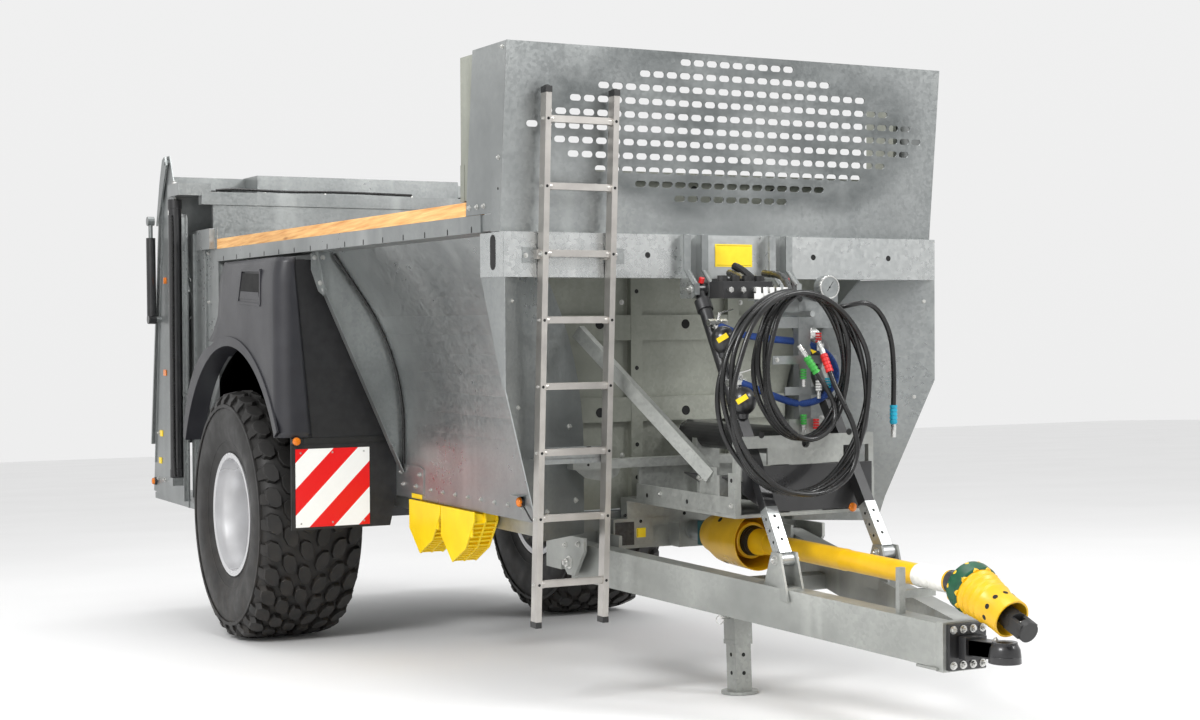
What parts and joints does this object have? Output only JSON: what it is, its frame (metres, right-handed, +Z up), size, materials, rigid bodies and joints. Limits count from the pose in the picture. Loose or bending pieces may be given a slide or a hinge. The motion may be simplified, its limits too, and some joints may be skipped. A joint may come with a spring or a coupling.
{
  "type": "manure spreader",
  "caption": "Single-axle push-off manure spreader with a flared trough, telescopic push shield, guillotine gate, beaters, spreading discs and a rear flap.",
  "frame": {"origin": "centre of the bounding box at ground level", "axes": "+X towards the drawbar and coupling, +Y to the machine's left, +Z up"},
  "size_m": [7.3666, 2.55, 2.9766],
  "materials": {
    "galvanised": "hot-dip galvanised steel with a fine zinc mottle",
    "aluminium": "extruded aluminium",
    "black_steel": "black painted steel",
    "black_board": "black composite board",
    "fender_plastic": "dark grey moulded plastic",
    "rubber": "black tyre rubber",
    "rim_silver": "silver painted steel",
    "wood": "bare orange pine",
    "shield_board": "beige plastic board",
    "yellow_plastic": "yellow guard plastic",
    "hose_rubber": "black hose rubber",
    "blue_cap": "blue cap plastic"
  },
  "bodies": {
    "chassis": {"axle_beam": "black_steel", "chassis_frame": "galvanised", "drawbar": "galvanised", "drawbar_strut_left": "black_steel", "drawbar_strut_right": "black_steel", "drive_bell": "yellow_plastic", "fender_left": "fender_plastic", "fender_right": "fender_plastic", "front_beam": "galvanised", "front_corner_left": "galvanised", "front_corner_right": "galvanised", "front_frame": "galvanised", "front_panel": "galvanised", "hitch_coupling": "black_steel", "hose_cap": "blue_cap", "hose_coil": "hose_rubber", "hose_drop": "hose_rubber", "hose_holder": "galvanised", "ladder": "aluminium", "lift_barrel_left": "black_steel", "lift_barrel_right": "black_steel", "mud_board_left": "black_board", "mud_board_right": "black_board", "ram_barrel": "black_steel", "rear_post_left": "galvanised", "rear_post_right": "galvanised", "spreader_deck": "galvanised", "spreader_side_left": "galvanised", "spreader_side_right": "galvanised", "spreader_top": "galvanised", "trough_floor": "galvanised", "trough_wall_left": "galvanised", "trough_wall_right": "galvanised", "wheel_chock_front": "yellow_plastic", "wheel_chock_rear": "yellow_plastic", "wood_rail_left": "wood", "wood_rail_right": "wood"},
    "wheel_left": {"rim_left": "rim_silver", "tyre_left": "rubber"},
    "disc_left": {"spreading_disc_left": "galvanised"},
    "flap_barrel_left": {"flap_barrel_left": "black_steel"},
    "flap_rod_left": {"flap_rod_left": "galvanised"},
    "wheel_right": {"rim_right": "rim_silver", "tyre_right": "rubber"},
    "disc_right": {"spreading_disc_right": "galvanised"},
    "flap_barrel_right": {"flap_barrel_right": "black_steel"},
    "flap_rod_right": {"flap_rod_right": "galvanised"},
    "shield": {"push_shield": "shield_board"},
    "stage_1": {"ram_stage_1": "rim_silver"},
    "stage_2": {"ram_stage_2": "rim_silver"},
    "stage_3": {"ram_stage_3": "rim_silver"},
    "gate": {"gate": "galvanised"},
    "flap": {"flap": "galvanised"},
    "beater_lower": {"beater_lower": "galvanised"},
    "beater_upper": {"beater_upper": "galvanised"},
    "jack": {"jack_leg": "galvanised"},
    "shaft": {"drive_shaft": "yellow_plastic"}
  },
  "joints": [
    {"name": "wheel_left_spin", "type": "hinge", "parent": "chassis", "child": "wheel_left", "pos_m": [-1.75543, 0.975, 0.717], "axis": [0, 1, 0], "continuous": true},
    {"name": "wheel_right_spin", "type": "hinge", "parent": "chassis", "child": "wheel_right", "pos_m": [-1.75543, -0.975, 0.717], "axis": [0, 1, 0], "continuous": true},
    {"name": "shield_push", "type": "slide", "parent": "chassis", "child": "shield", "axis": [-0.9987, 0, 0.0506], "range_m": [0, 3.32]},
    {"name": "stage_1_slide", "type": "slide", "parent": "chassis", "child": "stage_1", "axis": [-0.9987, 0, 0.0506], "range_m": [0, 0.83]},
    {"name": "stage_2_slide", "type": "slide", "parent": "chassis", "child": "stage_2", "axis": [-0.9987, 0, 0.0506], "range_m": [0, 1.66]},
    {"name": "stage_3_slide", "type": "slide", "parent": "chassis", "child": "stage_3", "axis": [-0.9987, 0, 0.0506], "range_m": [0, 2.49]},
    {"name": "gate_lift", "type": "slide", "parent": "chassis", "child": "gate", "axis": [0.0506, 0, 0.9987], "range_m": [0, 1.2]},
    {"name": "flap_swing", "type": "hinge", "parent": "chassis", "child": "flap", "pos_m": [-3.16506, 0, 2.93416], "axis": [0, 1, 0], "range_deg": [0, 75]},
    {"name": "flap_barrel_left_swing", "type": "hinge", "parent": "chassis", "child": "flap_barrel_left", "pos_m": [-3.40591, 1.24, 1.93506], "axis": [0, 1, 0], "range_deg": [-10.31, 0]},
    {"name": "flap_rod_left_slide", "type": "slide", "parent": "flap_barrel_left", "child": "flap_rod_left", "axis": [0.035, 0, 0.9994], "range_m": [0, 0.4893]},
    {"name": "flap_barrel_right_swing", "type": "hinge", "parent": "chassis", "child": "flap_barrel_right", "pos_m": [-3.40591, -1.24, 1.93506], "axis": [0, 1, 0], "range_deg": [-10.31, 0]},
    {"name": "flap_rod_right_slide", "type": "slide", "parent": "flap_barrel_right", "child": "flap_rod_right", "axis": [0.035, 0, 0.9994], "range_m": [0, 0.4893]},
    {"name": "beater_lower_spin", "type": "hinge", "parent": "chassis", "child": "beater_lower", "pos_m": [-3.09266, 0, 1.39853], "axis": [0, 1, 0], "continuous": true},
    {"name": "beater_upper_spin", "type": "hinge", "parent": "chassis", "child": "beater_upper", "pos_m": [-3.05977, 0, 2.04769], "axis": [0, 1, 0], "continuous": true},
    {"name": "disc_left_spin", "type": "hinge", "parent": "chassis", "child": "disc_left", "pos_m": [-3.17687, 0.52, 0.92218], "axis": [0.0506, 0, 0.9987], "continuous": true},
    {"name": "disc_right_spin", "type": "hinge", "parent": "chassis", "child": "disc_right", "pos_m": [-3.17687, -0.52, 0.92218], "axis": [0.0506, 0, 0.9987], "continuous": true},
    {"name": "jack_slide", "type": "slide", "parent": "chassis", "child": "jack", "axis": [0, 0, 1], "range_m": [0, 0.16]},
    {"name": "shaft_pitch", "type": "hinge", "parent": "chassis", "child": "shaft", "pos_m": [1.67706, 0, 0.67929], "axis": [0, -1, 0], "range_deg": [0, 10]}
  ],
  "couplings": [
    {"joint": "stage_1_slide", "follows": "shield_push", "ratio": 0.25},
    {"joint": "stage_2_slide", "follows": "shield_push", "ratio": 0.5},
    {"joint": "stage_3_slide", "follows": "shield_push", "ratio": 0.75},
    {"joint": "flap_barrel_left_swing", "follows": "flap_swing", "ratio": -0.13732},
    {"joint": "flap_rod_left_slide", "follows": "flap_swing", "m_per_rad": 0.37343},
    {"joint": "flap_barrel_right_swing", "follows": "flap_swing", "ratio": -0.13732},
    {"joint": "flap_rod_right_slide", "follows": "flap_swing", "m_per_rad": 0.37343}
  ]
}
